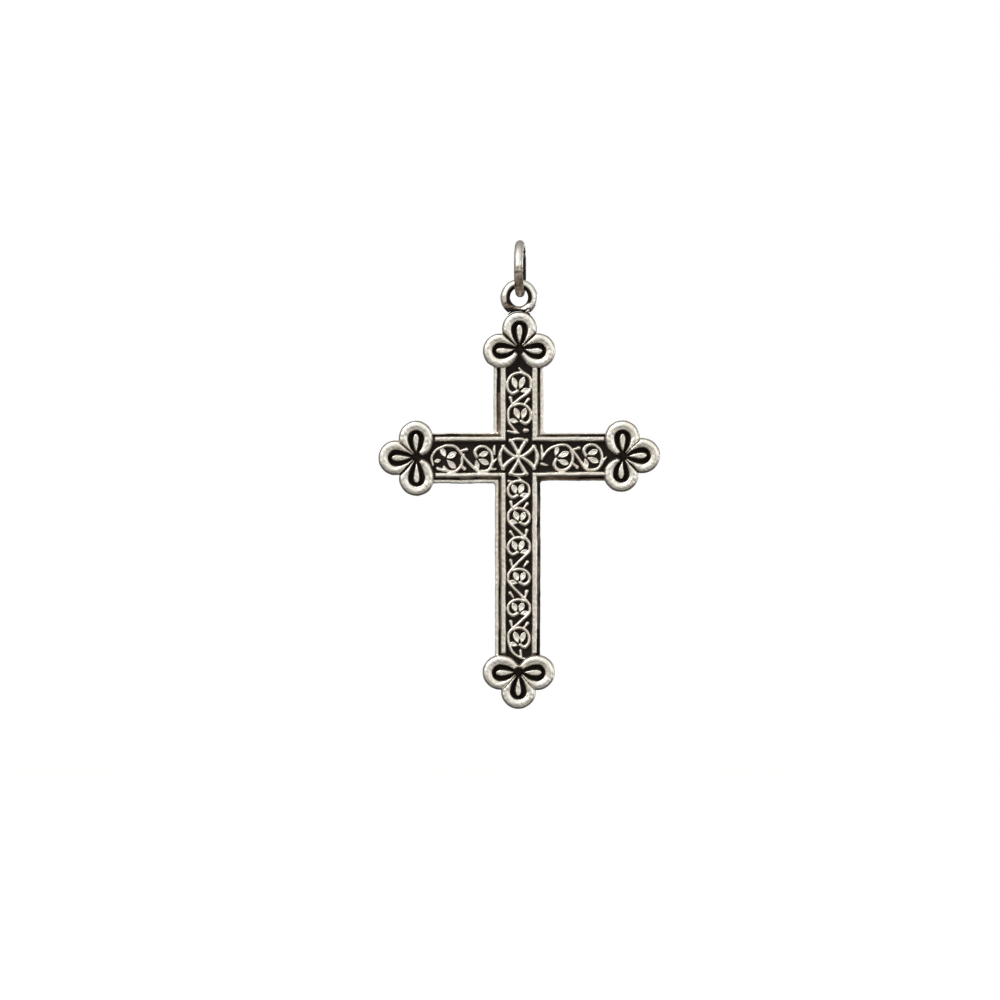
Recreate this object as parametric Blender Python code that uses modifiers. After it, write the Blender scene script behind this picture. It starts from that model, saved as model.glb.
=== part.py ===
"""Budded cross pendant in antiqued silver.

The cross is one casting: a flat-backed plate with raised rails, sunk panels that hold a vine scroll,
an encircled medallion at the crossing and three rimmed buds round a dimple at each end. A wire loop,
soldered to the top bud, hangs it on a jump ring.

Frame: metres, +Z up, +X to the right of the front, and the front looks along -Y. The origin is the
chain seat, the inner top of the jump ring, where a chain holds the pendant up."""

import math

import bmesh
import bpy
from mathutils import Matrix, Vector

MM = 0.001

# ---------------------------------------------------------------- driving dimensions

# Jump ring: round wire, closed by a butt joint on its back, and turned a little as it hangs.
RING_INSIDE = 4.7 * MM
RING_WIRE = 1.1 * MM
RING_YAW = math.radians(-4.0)
RING_JOINT_WIDTH = 0.08 * MM
RING_JOINT_ANGLE = math.radians(34.0)

# Suspension loop: round wire in the plane of the cross.
LOOP_HOLE = 2.26 * MM
LOOP_WIRE = 1.06 * MM
HANG_CLEARANCE = 0.05 * MM
LOOP_SUNK = 0.5 * MM

# Solder between the loop and the top bud.
SOLDER_CLEARANCE = 0.05 * MM
SOLDER_FILM = 0.14 * MM
SOLDER_HALF_LENGTH = 1.55 * MM
SOLDER_HALF_DEPTH = 0.5 * MM
SOLDER_HALF_HEIGHT = 0.55 * MM
SOLDER_DROP = 0.06 * MM

# Cross: distances from the middle of the crossing to the dimple of each end, and the sunk panels.
TOP_REACH = 13.07 * MM
FOOT_REACH = 25.74 * MM
LEFT_REACH = 12.2 * MM
RIGHT_REACH = 12.6 * MM
SHAFT_PANEL = 3.1 * MM
BEAM_PANEL = 3.65 * MM
CORNER_FILLET = 0.35 * MM

# Outwards from a panel: its rail, a groove, and the outer ledge.
RAIL_WIDTH = 0.64 * MM
GROOVE_WIDTH = 0.26 * MM
HEAD_LEDGE = 0.45 * MM
SHAFT_LEDGE = 0.25 * MM
BEAM_LEDGE = 0.18 * MM
RAIL_END_GAP = 2.2 * MM

# Buds: three lobes round each dimple, each a rounded rim round a sunk teardrop with a petal in it.
LOBE_RADIUS = 2.09 * MM
LOBE_OFFSET = 2.4 * MM
RIM_WIDTH = 1.0 * MM
DIMPLE_RADIUS = 0.46 * MM
HUB_RADIUS = 0.9 * MM
TEARDROP_TIP = 0.16 * MM
LOBE_SIDES = 22
HUB_SIDES = 24
DIMPLE_SIDES = 16
TEARDROP_STEPS = 14
TEARDROP_OVERRUN = 0.1 * MM
PETAL_LENGTH = 2.4 * MM
PETAL_WIDTH = 0.6 * MM
PETAL_SHIFT = 0.1 * MM

# Medallion at the crossing: four flared arms in outline, each closed by an arc of the circle.
MEDALLION_RADIUS = 2.32 * MM
MEDALLION_BAR = 0.42 * MM
MEDALLION_FLARE = math.radians(30.0)
MEDALLION_RIM_OVERRUN = math.radians(3.0)
MEDALLION_WAIST = 0.27 * MM
BOSS_WIDTH = 0.9 * MM

# Vine scroll in the panels.
VINE_WIDTH = 0.34 * MM
VINE_CLEARANCE = 0.14 * MM
SCROLL_PITCH = 3.6 * MM
LEAF_LENGTH = 1.15 * MM
LEAF_WIDTH = 0.62 * MM
HEAD_RUN_START = 3.4 * MM
FOOT_RUN_START = 2.1 * MM
LEFT_RUN_START = 2.1 * MM
RIGHT_RUN_START = 3.4 * MM
SHAFT_RUN_END_GAP = 2.35 * MM
BEAM_RUN_END_GAP = 1.8 * MM

# Heights over the flat back, from the back of the casting to its front. All scale with the thickness.
THICKNESS = 2.2 * MM
FLOOR_HEIGHT = 0.48 * THICKNESS
RECESS_HEIGHT = 0.43 * THICKNESS
GROOVE_HEIGHT = 0.39 * THICKNESS
DIMPLE_HEIGHT = 0.36 * THICKNESS
RAIL_HEIGHT = 0.82 * THICKNESS
VINE_HEIGHT = 0.68 * THICKNESS
LEAF_HEIGHT = 0.68 * THICKNESS
MEDALLION_HEIGHT = 0.82 * THICKNESS
PETAL_HEIGHT = 0.86 * THICKNESS
RELIEF_SUNK = 0.06 * THICKNESS
RELIEF_ROOT = 0.11 * THICKNESS

# ---------------------------------------------------------------- derived places

LOOP_CENTRE_RADIUS = (LOOP_HOLE + LOOP_WIRE) / 2
RING_CENTRE_RADIUS = (RING_INSIDE + RING_WIRE) / 2
RING_CENTRE_Z = -RING_INSIDE / 2
HANG_AXIS_Z = -RING_INSIDE + HANG_CLEARANCE + LOOP_WIRE / 2
LOOP_CENTRE_Z = HANG_AXIS_Z - LOOP_CENTRE_RADIUS
SOLDER_SEAM = 2 * SOLDER_CLEARANCE + SOLDER_FILM
TOP_BUD_Z = LOOP_CENTRE_Z - LOOP_CENTRE_RADIUS - LOOP_WIRE / 2 + LOOP_SUNK
CROSSING_Z = TOP_BUD_Z - LOBE_RADIUS - LOBE_OFFSET - TOP_REACH
BACK_Y = THICKNESS / 2
RELIEF_BASE = FLOOR_HEIGHT - RELIEF_SUNK
RAIL_BASE = GROOVE_HEIGHT - RELIEF_SUNK
PETAL_BASE = RECESS_HEIGHT - RELIEF_SUNK
HEAD_RUN = (HEAD_RUN_START, TOP_REACH - SHAFT_RUN_END_GAP)
FOOT_RUN = (FOOT_RUN_START, FOOT_REACH - SHAFT_RUN_END_GAP)
LEFT_RUN = (LEFT_RUN_START, LEFT_REACH - BEAM_RUN_END_GAP)
RIGHT_RUN = (RIGHT_RUN_START, RIGHT_REACH - BEAM_RUN_END_GAP)

UP = Vector((0, 1))
RIGHT = Vector((1, 0))
ENDS = ((UP, TOP_REACH), (-UP, FOOT_REACH), (-RIGHT, LEFT_REACH), (RIGHT, RIGHT_REACH))


# ---------------------------------------------------------------- scene and materials


def clear_scene():
    for existing in list(bpy.data.objects):
        bpy.data.objects.remove(existing)


def make_collection(name, parent):
    collection = bpy.data.collections.new(name)
    parent.children.link(collection)
    return collection


def metal(name, colour, roughness):
    material = bpy.data.materials.new(name)
    material.use_nodes = True
    shader = material.node_tree.nodes["Principled BSDF"]
    shader.inputs["Base Color"].default_value = colour
    shader.inputs["Roughness"].default_value = roughness
    shader.inputs["Metallic"].default_value = 1.0
    material.diffuse_color = colour
    return material


def add_object(name, mesh, collection):
    made = bpy.data.objects.new(name, mesh)
    collection.objects.link(made)
    return made


def shade_smooth(mesh):
    mesh.shade_smooth()
    mesh.set_sharp_from_angle(angle=math.radians(35))


def add_helper(name, mesh, collection):
    """A shape that only a Boolean reads."""
    shade_smooth(mesh)
    helper = add_object(name, mesh, collection)
    helper.hide_render = True
    helper.display_type = "WIRE"
    return helper


# ---------------------------------------------------------------- shapes in the cross's own plane
# Here x is to the right, y is up and z is the height over the flat back.


def curve_mesh(curve):
    """The closed mesh of a curve, with its caps welded on."""
    maker = bpy.data.objects.new(curve.name, curve)
    bpy.context.scene.collection.objects.link(maker)
    graph = bpy.context.evaluated_depsgraph_get()
    mesh = bpy.data.meshes.new_from_object(maker.evaluated_get(graph))
    bpy.data.objects.remove(maker)
    shape = bmesh.new()
    shape.from_mesh(mesh)
    bmesh.ops.remove_doubles(shape, verts=shape.verts, dist=0.0005 * MM)
    shape.to_mesh(mesh)
    shape.free()
    return mesh


def slab_mesh(name, points, low, high):
    """A flat outline between two heights."""
    curve = bpy.data.curves.new(name, "CURVE")
    curve.dimensions = "2D"
    curve.fill_mode = "BOTH"
    curve.extrude = (high - low) / 2
    spline = curve.splines.new("POLY")
    spline.points.add(len(points) - 1)
    for point, place in zip(spline.points, points):
        point.co = (place[0], place[1], 0, 1)
    spline.use_cyclic_u = True
    mesh = curve_mesh(curve)
    mesh.transform(Matrix.Translation((0, 0, (high + low) / 2)))
    return mesh


def sink(mesh, half_width, rise, base, root):
    """Stretches the upper half of a round shape to a rise over the base, and its lower half to a root."""
    for vertex in mesh.vertices:
        stretch = (rise if vertex.co.z > 0 else root) / half_width
        vertex.co.z = base + vertex.co.z * stretch


def wire_mesh(name, points, width, height, base, closed=False, tapers=None, sides=6, root=None):
    """A wire laid along points, half sunk at the base, that stands up to the height."""
    curve = bpy.data.curves.new(name, "CURVE")
    curve.dimensions = "3D"
    curve.bevel_depth = width / 2
    curve.bevel_resolution = (sides - 4) // 2
    curve.use_fill_caps = not closed
    curve.twist_mode = "Z_UP"
    spline = curve.splines.new("POLY")
    spline.points.add(len(points) - 1)
    for index, place in enumerate(points):
        spline.points[index].co = (place[0], place[1], 0, 1)
        spline.points[index].radius = tapers[index] if tapers else 1.0
    spline.use_cyclic_u = closed
    mesh = curve_mesh(curve)
    sink(mesh, width / 2, height - base, base, root or RELIEF_ROOT)
    return mesh


def blob_mesh(name, middle, direction, length, width, height, base):
    """A spindle that is half sunk at the base, such as a leaf or a petal."""
    shape = bmesh.new()
    bmesh.ops.create_uvsphere(shape, u_segments=6, v_segments=5, radius=0.5)
    along_x = Matrix.Rotation(math.pi / 2, 4, "Y")
    turn = Matrix.Rotation(math.atan2(direction.y, direction.x), 4, "Z")
    size = Matrix.Diagonal((length, width, 1, 1))
    place = Matrix.Translation((middle.x, middle.y, 0))
    bmesh.ops.transform(shape, matrix=place @ turn @ size @ along_x, verts=shape.verts)
    mesh = bpy.data.meshes.new(name)
    shape.to_mesh(mesh)
    shape.free()
    sink(mesh, 0.5, height - base, base, RELIEF_ROOT)
    return mesh


def drum_mesh(name, middle, radius, low, high, segments):
    shape = bmesh.new()
    place = Matrix.Translation((middle.x, middle.y, (low + high) / 2))
    bmesh.ops.create_cone(
        shape, cap_ends=True, segments=segments, radius1=radius, radius2=radius,
        depth=high - low, matrix=place,
    )
    mesh = bpy.data.meshes.new(name)
    shape.to_mesh(mesh)
    shape.free()
    return mesh


def arc(middle, radius, start, end, steps):
    """Points on an arc, both ends included."""
    turns = [start + (end - start) * step / steps for step in range(steps + 1)]
    return [middle + radius * Vector((math.cos(turn), math.sin(turn))) for turn in turns]


# ---------------------------------------------------------------- the casting


def quadrants():
    """(side, end) signs of the four corners of the crossing, anticlockwise from the upper right."""
    return ((1, 1), (-1, 1), (-1, -1), (1, -1))


def end_reach(side, end):
    return (RIGHT_REACH if side > 0 else LEFT_REACH), (TOP_REACH if end > 0 else FOOT_REACH)


def plate_outline():
    """The cross's outline up to the dimples, with rounded inner corners."""
    points = []
    for side, end in quadrants():
        beam_reach, shaft_reach = end_reach(side, end)
        half_shaft = SHAFT_PANEL / 2 + RAIL_WIDTH + GROOVE_WIDTH + (HEAD_LEDGE if end > 0 else SHAFT_LEDGE)
        half_beam = BEAM_PANEL / 2 + RAIL_WIDTH + GROOVE_WIDTH + BEAM_LEDGE
        middle = Vector((side * (half_shaft + CORNER_FILLET), end * (half_beam + CORNER_FILLET)))
        corner = [Vector((side * beam_reach, end * half_beam))]
        for step in range(5):
            turn = step * math.pi / 8
            corner.append(middle - CORNER_FILLET * Vector((side * math.sin(turn), end * math.cos(turn))))
        corner.append(Vector((side * half_shaft, end * shaft_reach)))
        points += corner if side * end > 0 else corner[::-1]
    return points


def rail_corner(side, end, outward):
    """The path of a rail round one corner of the crossing, moved outward from the panel's edge."""
    beam_reach, shaft_reach = end_reach(side, end)
    across = SHAFT_PANEL / 2 + outward
    up = BEAM_PANEL / 2 + outward
    return [
        Vector((side * across, end * (shaft_reach - RAIL_END_GAP))),
        Vector((side * across, end * up)),
        Vector((side * (beam_reach - RAIL_END_GAP), end * up)),
    ]


def groove_mesh(name, side, end):
    """The groove from under the rail out to the ledge, run on under the buds."""
    beam_reach, shaft_reach = end_reach(side, end)
    inner = RAIL_WIDTH / 2
    outer = RAIL_WIDTH + GROOVE_WIDTH
    inside = (side * (SHAFT_PANEL / 2 + inner), end * (BEAM_PANEL / 2 + inner))
    outside = (side * (SHAFT_PANEL / 2 + outer), end * (BEAM_PANEL / 2 + outer))
    far = (side * (beam_reach - RAIL_END_GAP), end * (shaft_reach - RAIL_END_GAP))
    points = [
        (inside[0], far[1]), (inside[0], inside[1]), (far[0], inside[1]),
        (far[0], outside[1]), (outside[0], outside[1]), (outside[0], far[1]),
    ]
    return slab_mesh(name, points, GROOVE_HEIGHT, THICKNESS)


def lobe_profile():
    """Half of a lobe's section, from its middle out over the rounded rim and down to the back."""
    drop = THICKNESS - FLOOR_HEIGHT
    return [
        (0, THICKNESS),
        (LOBE_RADIUS - 0.6 * RIM_WIDTH, THICKNESS),
        (LOBE_RADIUS - 0.3 * RIM_WIDTH, THICKNESS - 0.12 * drop),
        (LOBE_RADIUS - 0.08 * RIM_WIDTH, THICKNESS - 0.42 * drop),
        (LOBE_RADIUS, FLOOR_HEIGHT + 0.1 * drop),
        (LOBE_RADIUS, 0),
        (0, 0),
    ]


def lobe_mesh(name, middle):
    """A lobe turned about its own middle, by a Screw on half of its section."""
    profile = bpy.data.meshes.new(name)
    points = lobe_profile()
    rows = [(radius, 0, height) for radius, height in points]
    profile.from_pydata(rows, [(i, i + 1) for i in range(len(rows) - 1)], [])
    maker = bpy.data.objects.new(name, profile)
    bpy.context.scene.collection.objects.link(maker)
    screw = maker.modifiers.new("turn", "SCREW")
    screw.steps = LOBE_SIDES
    screw.render_steps = LOBE_SIDES
    screw.use_merge_vertices = True
    screw.merge_threshold = 1e-6
    graph = bpy.context.evaluated_depsgraph_get()
    mesh = bpy.data.meshes.new_from_object(maker.evaluated_get(graph))
    bpy.data.objects.remove(maker)
    shape = bmesh.new()
    shape.from_mesh(mesh)
    bmesh.ops.remove_doubles(shape, verts=shape.verts, dist=1e-6)
    bmesh.ops.recalc_face_normals(shape, faces=shape.faces)
    bmesh.ops.translate(shape, vec=(middle.x, middle.y, 0), verts=shape.verts)
    shape.to_mesh(mesh)
    shape.free()
    return mesh


def teardrop_mesh(name, middle, direction):
    """What is sunk into a lobe: a point at the dimple that widens to a round end, with sloping sides."""
    radius = LOBE_RADIUS - RIM_WIDTH
    reach = LOBE_OFFSET - 0.5 * DIMPLE_RADIUS
    swing = math.pi / 2 + math.asin(radius / reach)
    heading = math.atan2(direction.y, direction.x)
    point = middle - direction * reach
    across = Vector((-direction.y, direction.x)) * TEARDROP_TIP / 2
    outline = arc(middle, radius, heading - swing, heading + swing, TEARDROP_STEPS)
    mesh = slab_mesh(name, outline + [point + across, point - across], RECESS_HEIGHT, THICKNESS)
    grown = 1 + 0.3 * RIM_WIDTH / radius
    for vertex in mesh.vertices:
        if vertex.co.z > (RECESS_HEIGHT + THICKNESS) / 2:
            offset = vertex.co.xy - middle
            vertex.co.z += TEARDROP_OVERRUN
            if offset.length < 1.01 * radius:
                vertex.co.xy = middle + offset * grown
    return mesh


def lobe_directions(outward):
    """The three ways in which the lobes of one end point."""
    return outward, Vector((-outward.y, outward.x)), Vector((outward.y, -outward.x))


def add_buds(lobes, cutters, relief):
    """At each end: a hub under the dimple, and three lobes, each sunk to a teardrop with a petal in it."""
    for outward, reach in ENDS:
        dimple = outward * reach
        hub = drum_mesh("hub", dimple, HUB_RADIUS, 0, RECESS_HEIGHT, HUB_SIDES)
        add_helper("hub", hub, lobes)
        for direction in lobe_directions(outward):
            middle = dimple + direction * LOBE_OFFSET
            petal = middle - direction * (LOBE_OFFSET / 2 - PETAL_LENGTH / 4 - PETAL_SHIFT)
            add_helper("lobe", lobe_mesh("lobe", middle), lobes)
            add_helper("teardrop", teardrop_mesh("teardrop", middle, direction), cutters)
            spindle = blob_mesh(
                "petal", petal, direction, PETAL_LENGTH, PETAL_WIDTH, PETAL_HEIGHT, PETAL_BASE
            )
            add_helper("petal", spindle, relief)
        hollow = drum_mesh("dimple", dimple, DIMPLE_RADIUS, DIMPLE_HEIGHT, 2 * THICKNESS, DIMPLE_SIDES)
        add_helper("dimple", hollow, cutters)


def add_rails(cutters, relief):
    """The rails, mitred round the crossing's corners, and the grooves outside them."""
    for side, end in quadrants():
        path = rail_corner(side, end, RAIL_WIDTH / 2)
        rail = wire_mesh("rail", path, RAIL_WIDTH, RAIL_HEIGHT, RAIL_BASE, sides=10)
        add_helper("rail", rail, relief)
        add_helper("groove", groove_mesh("groove", side, end), cutters)


def medallion_side(heading):
    """The hollow side between two neighbouring arms, from the rim in to the middle and out again."""
    radius = MEDALLION_RADIUS - MEDALLION_BAR / 2
    direction = Vector((math.cos(heading), math.sin(heading)))
    across = Vector((-direction.y, direction.x))
    flare = radius * math.sin(MEDALLION_FLARE) - MEDALLION_WAIST
    reach = radius * math.cos(MEDALLION_FLARE) - MEDALLION_WAIST
    shares = (1.0, 0.82, 0.62, 0.4, 0.2, 0.0)
    arm = [(MEDALLION_WAIST + s * reach, MEDALLION_WAIST + flare * s**2.4) for s in shares]
    leaving = [direction * out + across * wide for out, wide in arm]
    arriving = [direction * wide + across * out for out, wide in reversed(arm[:-1])]
    return leaving + arriving


def add_medallion(relief):
    """Four flared arms in outline, each closed by a stretch of the rim, round a small boss."""
    radius = MEDALLION_RADIUS - MEDALLION_BAR / 2
    spread = MEDALLION_FLARE + MEDALLION_RIM_OVERRUN
    middle = Vector((0, 0))
    for quarter in range(4):
        heading = quarter * math.pi / 2
        rim = arc(middle, radius, heading - spread, heading + spread, 7)
        for path in (medallion_side(heading), rim):
            bar = wire_mesh("medallion_bar", path, MEDALLION_BAR, MEDALLION_HEIGHT, RELIEF_BASE)
            add_helper("medallion_bar", bar, relief)
    boss = blob_mesh("boss", middle, RIGHT, BOSS_WIDTH, BOSS_WIDTH, MEDALLION_HEIGHT, RELIEF_BASE)
    add_helper("boss", boss, relief)


# ---------------------------------------------------------------- the vine


def scroll_places(start, stop):
    """Middles of the scrolls between two distances from the crossing."""
    count = max(1, round((stop - start) / SCROLL_PITCH))
    pitch = (stop - start) / count
    return [start + (index + 0.5) * pitch for index in range(count)]


def scroll_frame(axis, place, side, radius):
    """Turns (out, up), in scroll radii, into a point: up runs along the axis, out to the stem's side."""
    across = Vector((axis.y, -axis.x)) * side
    return lambda out, up: axis * (place + up * radius) + across * (out * radius)


def add_scroll(at, relief):
    """One scroll: a tendril over the top and down the far side, hooked in to a sprig of three leaves."""
    base = at(-0.2, -0.66)
    turns = [math.radians(degrees) for degrees in range(62, 232, 24)]
    path = [at(math.cos(turn), math.sin(turn)) for turn in turns] + [at(-0.42, -0.82), base]
    tapers = [0.8] + [1.0] * (len(path) - 2) + [1.1]
    tendril = wire_mesh("tendril", path, VINE_WIDTH, VINE_HEIGHT, RELIEF_BASE, tapers=tapers)
    add_helper("tendril", tendril, relief)
    for tip in (at(-0.5, 0.38), at(0.38, 0.44), at(0.66, -0.42)):
        direction = (tip - base).normalized()
        middle = tip - direction * LEAF_LENGTH / 2
        leaf = blob_mesh("leaf", middle, direction, LEAF_LENGTH, LEAF_WIDTH, LEAF_HEIGHT, RELIEF_BASE)
        add_helper("leaf", leaf, relief)


def add_vine(axis, places, first_side, radius, relief):
    """The vine of one panel: a stem that sways from side to side, with a scroll in each bend.

    The leaves point along the axis, and the stem runs the other way."""
    pitch = abs(places[0] - places[-1]) / (len(places) - 1) if len(places) > 1 else SCROLL_PITCH
    swing = math.asin(min(0.95, 2 * radius / pitch))
    stem = []
    for index, place in enumerate(places):
        at = scroll_frame(axis, place, first_side * (-1) ** index, radius)
        if not stem:
            stem.append(at(0.1, 1.45))
        stem += [at(math.cos(turn * swing), math.sin(turn * swing)) for turn in (1, 0.33, -0.33, -1)]
        add_scroll(at, relief)
    stem.append(at(-0.35, -1.38))
    tapers = [0.6] + [1.0] * (len(stem) - 2) + [0.6]
    wire = wire_mesh("stem", stem, VINE_WIDTH, VINE_HEIGHT, RELIEF_BASE, tapers=tapers)
    add_helper("stem", wire, relief)


def add_vines(relief):
    """Vines in the four panels: leaves point up in the shaft and to the right in the beam."""
    for axis, panel, ahead, behind in (
        (UP, SHAFT_PANEL, HEAD_RUN, FOOT_RUN),
        (RIGHT, BEAM_PANEL, RIGHT_RUN, LEFT_RUN),
    ):
        radius = panel / 2 - VINE_CLEARANCE - VINE_WIDTH / 2
        outwards = scroll_places(*ahead)
        inwards = outwards[::-1]
        add_vine(axis, inwards, 1 if len(inwards) % 2 == 0 else -1, radius, relief)
        add_vine(axis, [-place for place in scroll_places(*behind)], 1, radius, relief)


# ---------------------------------------------------------------- the pieces


def make_frame(name, parent, location, turned):
    """An empty whose children are drawn in a plane of their own."""
    frame = bpy.data.objects.new(name, None)
    bpy.context.scene.collection.objects.link(frame)
    frame.parent = parent
    frame.location = location
    frame.rotation_euler = turned
    return frame


def join_or_cut(target, operation, tools, solver="EXACT"):
    boolean = target.modifiers.new(tools.name, "BOOLEAN")
    boolean.operation = operation
    boolean.solver = solver
    boolean.operand_type = "COLLECTION"
    boolean.collection = tools


def make_cross(parts, helpers, plane):
    """The casting, in the plane of its back, drawn from the middle of the crossing."""
    lobes = make_collection("cross_lobes", helpers)
    cutters = make_collection("cross_cutters", helpers)
    relief = make_collection("cross_relief", helpers)
    add_buds(lobes, cutters, relief)
    add_rails(cutters, relief)
    add_medallion(relief)
    add_vines(relief)
    cross = add_object("cross_body", slab_mesh("cross_body", plate_outline(), 0, FLOOR_HEIGHT), parts)
    cross.data.materials.append(metal("antiqued_silver", (0.62, 0.60, 0.56, 1.0), 0.38))
    # The shapes mirror each other across the creases, which only the manifold solver keeps closed.
    join_or_cut(cross, "UNION", lobes, "MANIFOLD")
    join_or_cut(cross, "DIFFERENCE", cutters, "MANIFOLD")
    join_or_cut(cross, "UNION", relief, "MANIFOLD")
    for piece in (cross, *lobes.objects, *cutters.objects, *relief.objects):
        piece.parent = plane


def round_wire(name, path, width, closed=False):
    """A round wire along a path, with its middle in the plane of the path."""
    return wire_mesh(name, path, width, width / 2, 0, closed=closed, sides=10, root=width / 2)


def loop_wire(width):
    """The loop as a whole ring of wire, drawn from its own middle."""
    path = arc(Vector((0, 0)), LOOP_CENTRE_RADIUS, 0, 2 * math.pi, 36)[:-1]
    return round_wire("loop_wire", path, width, closed=True)


def bud_drum(clearance):
    """The round of the top bud, grown by a clearance, as seen from the loop's middle."""
    middle = Vector((0, TOP_BUD_Z - LOBE_RADIUS - LOOP_CENTRE_Z))
    half_depth = 2 * THICKNESS
    return drum_mesh("bud_round", middle, LOBE_RADIUS + clearance, -half_depth, half_depth, 64)


def make_loop(parts, helpers, plane):
    """The suspension loop, its foot filed hollow to sit over the top bud."""
    cutters = make_collection("loop_cutters", helpers)
    seat = add_helper("loop_seat", bud_drum(SOLDER_SEAM), cutters)
    loop = add_object("suspension_loop", loop_wire(LOOP_WIRE), parts)
    loop.data.materials.append(metal("loop_silver", (0.66, 0.64, 0.60, 1.0), 0.3))
    join_or_cut(loop, "DIFFERENCE", cutters)
    loop.parent = plane
    seat.parent = plane


def make_solder(parts, helpers, plane):
    """The solder: a film under the loop's foot, with a fillet in the notch at each side of it."""
    cutters = make_collection("solder_cutters", helpers)
    seats = make_collection("solder_seats", helpers)
    bud = add_helper("solder_bud", bud_drum(SOLDER_CLEARANCE), cutters)
    wire = add_helper("solder_wire", loop_wire(LOOP_WIRE + 2 * SOLDER_CLEARANCE), cutters)
    film = add_helper("solder_film", bud_drum(SOLDER_CLEARANCE + SOLDER_FILM), seats)
    join_or_cut(wire, "DIFFERENCE", seats)
    bead = bmesh.new()
    bmesh.ops.create_uvsphere(bead, u_segments=24, v_segments=12, radius=1.0)
    size = Matrix.Diagonal((SOLDER_HALF_LENGTH, SOLDER_HALF_HEIGHT, SOLDER_HALF_DEPTH, 1))
    drop = LOOP_CENTRE_Z - TOP_BUD_Z + SOLDER_DROP
    bmesh.ops.transform(bead, matrix=Matrix.Translation((0, -drop, 0)) @ size, verts=bead.verts)
    mesh = bpy.data.meshes.new("loop_solder")
    bead.to_mesh(mesh)
    bead.free()
    solder = add_object("loop_solder", mesh, parts)
    solder.data.materials.append(metal("solder", (0.3, 0.28, 0.25, 1.0), 0.45))
    join_or_cut(solder, "DIFFERENCE", cutters)
    for piece in (solder, bud, wire, film):
        piece.parent = plane


def make_ring(parts):
    """The jump ring, drawn about its own middle and stood up across the loop."""
    middle = Vector((0, 0))
    joint = math.pi / 2 - RING_JOINT_ANGLE
    half_gap = RING_JOINT_WIDTH / 2 / RING_CENTRE_RADIUS
    path = arc(middle, RING_CENTRE_RADIUS, joint + half_gap, joint + 2 * math.pi - half_gap, 42)
    ring = add_object("jump_ring", round_wire("jump_ring", path, RING_WIRE), parts)
    ring.data.materials.append(metal("ring_silver", (0.6, 0.58, 0.54, 1.0), 0.32))
    ring.location = (0, 0, RING_CENTRE_Z)
    ring.rotation_euler = (math.pi / 2, 0, math.pi / 2 + RING_YAW)


def build():
    clear_scene()
    top = bpy.context.scene.collection
    parts = make_collection("budded_cross_pendant", top)
    helpers = make_collection("boolean_shapes", top)
    upright = (math.pi / 2, 0, 0)
    swing = make_frame("pendant_swing", None, (0, 0, HANG_AXIS_Z), (0, 0, 0))
    cross_plane = make_frame("cross_plane", swing, (0, BACK_Y, CROSSING_Z - HANG_AXIS_Z), upright)
    loop_plane = make_frame("loop_plane", swing, (0, 0, LOOP_CENTRE_Z - HANG_AXIS_Z), upright)
    make_ring(parts)
    make_loop(parts, helpers, loop_plane)
    make_solder(parts, helpers, loop_plane)
    make_cross(parts, helpers, cross_plane)
    for piece in parts.objects:
        if piece.name != "cross_body":
            shade_smooth(piece.data)


build()
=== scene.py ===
"""Looks of the budded cross pendant: an antiqued cast cross, its soldered loop and its jump ring."""

import math

import bpy
import numpy as np
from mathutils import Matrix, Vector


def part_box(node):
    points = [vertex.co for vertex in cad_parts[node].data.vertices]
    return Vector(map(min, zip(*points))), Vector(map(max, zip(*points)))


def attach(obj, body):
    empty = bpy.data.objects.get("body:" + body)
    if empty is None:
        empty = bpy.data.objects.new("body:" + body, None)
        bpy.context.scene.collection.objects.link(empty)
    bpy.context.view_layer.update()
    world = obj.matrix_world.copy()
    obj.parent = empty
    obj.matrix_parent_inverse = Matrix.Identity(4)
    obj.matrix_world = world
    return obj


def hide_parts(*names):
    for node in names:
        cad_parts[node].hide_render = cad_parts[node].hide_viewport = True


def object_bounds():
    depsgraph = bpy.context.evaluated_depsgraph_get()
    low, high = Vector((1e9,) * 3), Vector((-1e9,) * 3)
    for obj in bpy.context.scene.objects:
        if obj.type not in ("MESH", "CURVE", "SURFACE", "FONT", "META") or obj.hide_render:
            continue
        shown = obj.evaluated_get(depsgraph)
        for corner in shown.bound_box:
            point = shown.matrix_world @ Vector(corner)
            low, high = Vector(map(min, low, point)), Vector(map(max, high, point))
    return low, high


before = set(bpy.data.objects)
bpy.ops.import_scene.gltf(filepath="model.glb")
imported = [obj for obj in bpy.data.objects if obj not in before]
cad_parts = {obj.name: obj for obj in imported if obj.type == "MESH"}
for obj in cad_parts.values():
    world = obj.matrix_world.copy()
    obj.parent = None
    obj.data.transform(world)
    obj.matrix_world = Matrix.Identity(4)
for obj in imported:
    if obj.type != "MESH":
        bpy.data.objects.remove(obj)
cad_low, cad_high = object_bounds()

import openvdb
from mathutils import Vector
from mathutils.geometry import delaunay_2d_cdt

MM = 0.001

# ---------------------------------------------------------------- sizes in mm, from the CAD part

LOBE_RADIUS = 2.09
LOBE_OFFSET = 2.4
TOP_REACH = 13.07
FOOT_REACH = 25.74
LEFT_REACH = 12.2
RIGHT_REACH = 12.6
CORNER_FILLET = 0.35
RAIL_END_GAP = 2.2

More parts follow.
